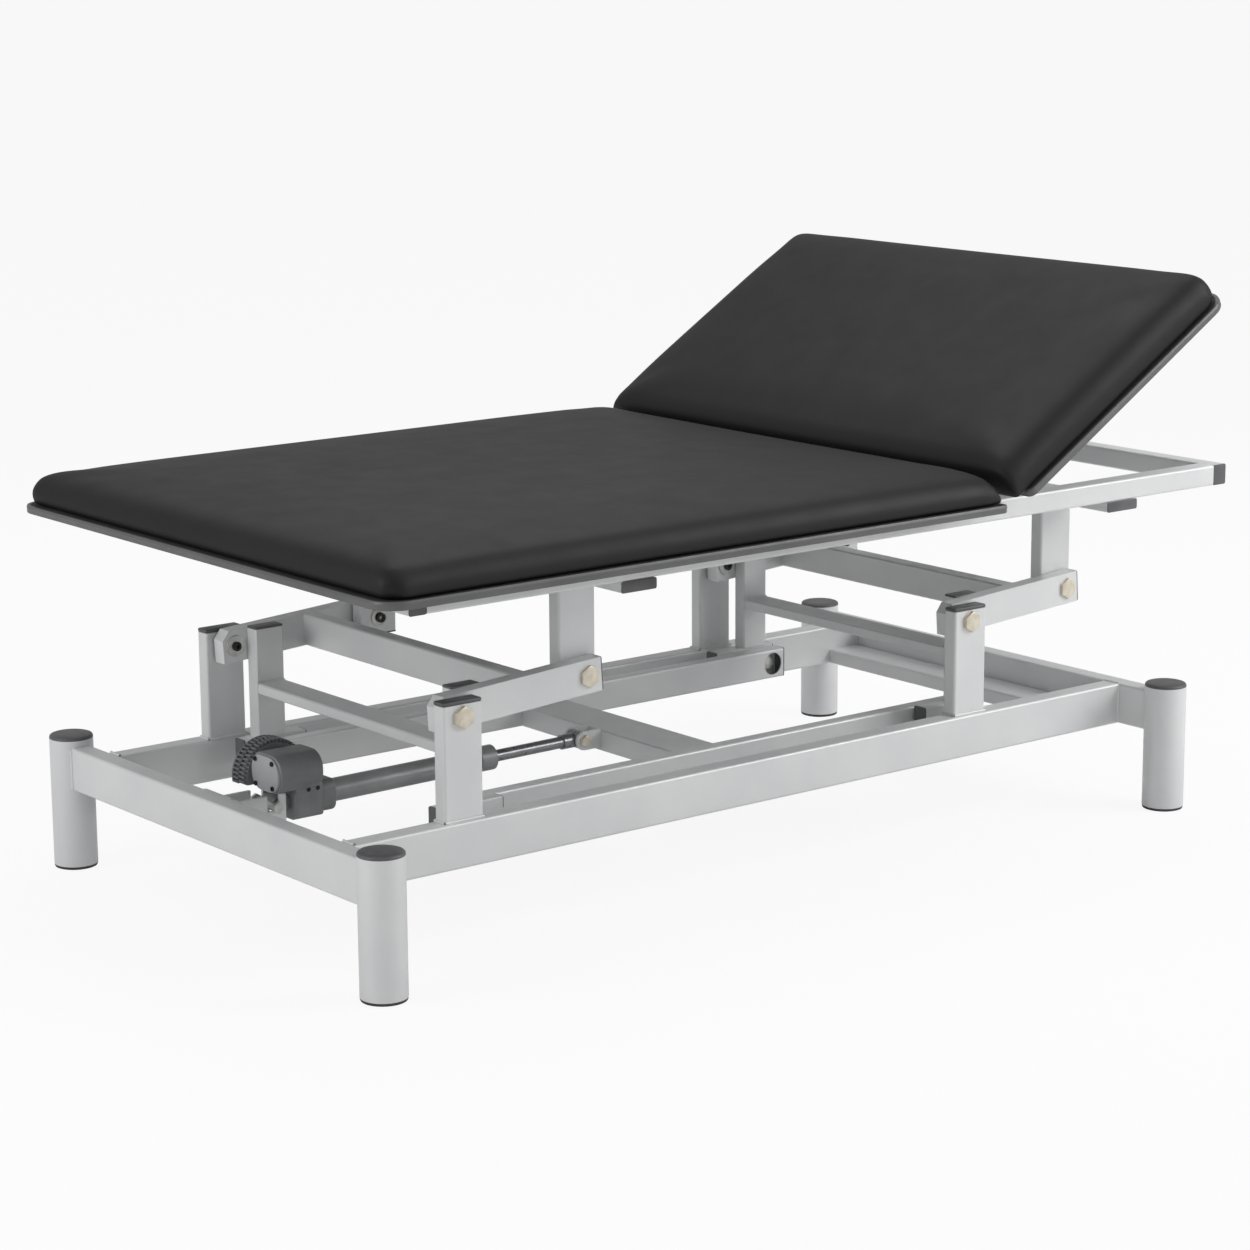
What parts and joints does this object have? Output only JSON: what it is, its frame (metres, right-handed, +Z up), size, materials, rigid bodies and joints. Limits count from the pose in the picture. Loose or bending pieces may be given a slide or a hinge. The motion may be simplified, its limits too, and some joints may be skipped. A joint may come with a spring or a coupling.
{
  "type": "bobath table",
  "caption": "Height-adjustable therapy table: padded top with raised backrest on parallel lift arms, driven by a linear actuator in a tubular base on round legs.",
  "frame": {"origin": "on the floor, at the middle of the overall length and width at rest", "axes": "+X towards the head end with the backrest, +Y across the table to its far side, +Z up"},
  "size_m": [2.061, 1.184, 1.0335],
  "materials": {
    "frame": "satin",
    "plug": "matte",
    "rubber": "matte",
    "bolt": "satin",
    "drive_grey": "satin",
    "drive_black": "satin",
    "rod": "polished",
    "trim": "satin",
    "vinyl": "satin"
  },
  "bodies": {
    "base": {"actuator_bracket": "frame", "base_plugs": "plug", "end_rail_foot": "frame", "end_rail_head": "frame", "head_stiffener": "frame", "leg_feet": "rubber", "leg_foot_far": "frame", "leg_foot_near": "frame", "leg_head_far": "frame", "leg_head_near": "frame", "lower_pivot_bolts": "bolt", "post_foot_far": "frame", "post_foot_near": "frame", "post_head_far": "frame", "post_head_near": "frame", "side_rail_far": "frame", "side_rail_near": "frame"},
    "foot_arm": {"foot_arm_cross_tube": "frame", "foot_arm_far": "frame", "foot_arm_near": "frame", "foot_arm_plugs": "plug", "foot_crossbar": "frame", "foot_lever_far": "frame", "foot_lever_near": "frame"},
    "head_arm": {"head_arm_cross_tube": "frame", "head_arm_far": "frame", "head_arm_near": "frame", "head_arm_plugs": "plug", "head_crossbar": "frame", "head_lever_far": "frame", "head_lever_near": "frame"},
    "drive_frame": {"drive_bar_far": "frame", "drive_bar_near": "frame", "drive_cross_tube": "frame", "drive_fittings": "bolt"},
    "actuator_rod": {"push_rod": "rod"},
    "actuator_body": {"gear_housing": "drive_grey", "ribbed_cap": "drive_black", "outer_tube": "drive_grey"},
    "upper_frame": {"down_post_foot_far": "frame", "down_post_foot_near": "frame", "down_post_head_far": "frame", "down_post_head_near": "frame", "flat_tube_foot": "frame", "flat_tube_head": "frame", "hinge_knuckles": "bolt", "hinge_rail": "frame", "main_board": "trim", "main_pad": "vinyl", "top_end_foot": "frame", "top_end_head": "frame", "top_rail_far": "frame", "top_rail_near": "frame", "upper_pivot_screws": "bolt", "upper_plugs": "plug"},
    "backrest": {"back_board": "trim", "back_pad": "vinyl", "back_fittings": "bolt"},
    "strut_cylinder": {"strut_cylinder": "drive_black"},
    "strut_rod": {"strut_rod": "rod"}
  },
  "joints": [
    {"name": "lift", "type": "hinge", "parent": "base", "child": "foot_arm", "pos_m": [-0.7425, 0, 0.41], "axis": [0, -1, 0], "range_deg": [-30, 30]},
    {"name": "head_lift", "type": "hinge", "parent": "base", "child": "head_arm", "pos_m": [0.4325, 0, 0.41], "axis": [0, -1, 0], "range_deg": [-30.5, 30.5]},
    {"name": "top_level", "type": "hinge", "parent": "foot_arm", "child": "upper_frame", "pos_m": [-0.44811, 0, 0.42904], "axis": [0, -1, 0], "range_deg": [-30.5, 30.5]},
    {"name": "drive_level", "type": "hinge", "parent": "foot_arm", "child": "drive_frame", "pos_m": [-0.6725, 0, 0.205], "axis": [0, -1, 0], "range_deg": [-30.5, 30.5]},
    {"name": "rod_pivot", "type": "hinge", "parent": "drive_frame", "child": "actuator_rod", "pos_m": [-0.1785, 0.032, 0.2], "axis": [0, -1, 0], "range_deg": [-3.5, 3.5]},
    {"name": "stroke", "type": "slide", "parent": "actuator_rod", "child": "actuator_body", "axis": [-1, 0, -0.0073], "range_m": [-0.107, 0.107]},
    {"name": "backrest_tilt", "type": "hinge", "parent": "upper_frame", "child": "backrest", "pos_m": [0.3525, 0, 0.659], "axis": [0, -1, 0], "range_deg": [-31.6, 8.4]},
    {"name": "strut_base", "type": "hinge", "parent": "upper_frame", "child": "strut_cylinder", "pos_m": [0.7705, 0, 0.631], "axis": [0, -1, 0], "range_deg": [-20, 20]},
    {"name": "strut_tip", "type": "hinge", "parent": "backrest", "child": "strut_rod", "pos_m": [0.46768, 0, 0.69698], "axis": [0, -1, 0], "range_deg": [-50, 50]}
  ],
  "couplings": [
    {"joint": "head_lift", "follows": "lift", "ratio": 1},
    {"joint": "top_level", "follows": "lift", "ratio": -1},
    {"joint": "drive_level", "follows": "lift", "ratio": -1},
    {"joint": "rod_pivot", "follows": "lift", "ratio": 0.1},
    {"joint": "stroke", "follows": "lift", "m_per_rad": 0.19882},
    {"joint": "strut_base", "follows": "backrest_tilt", "ratio": -0.3726},
    {"joint": "strut_tip", "follows": "backrest_tilt", "ratio": -1.3726}
  ]
}
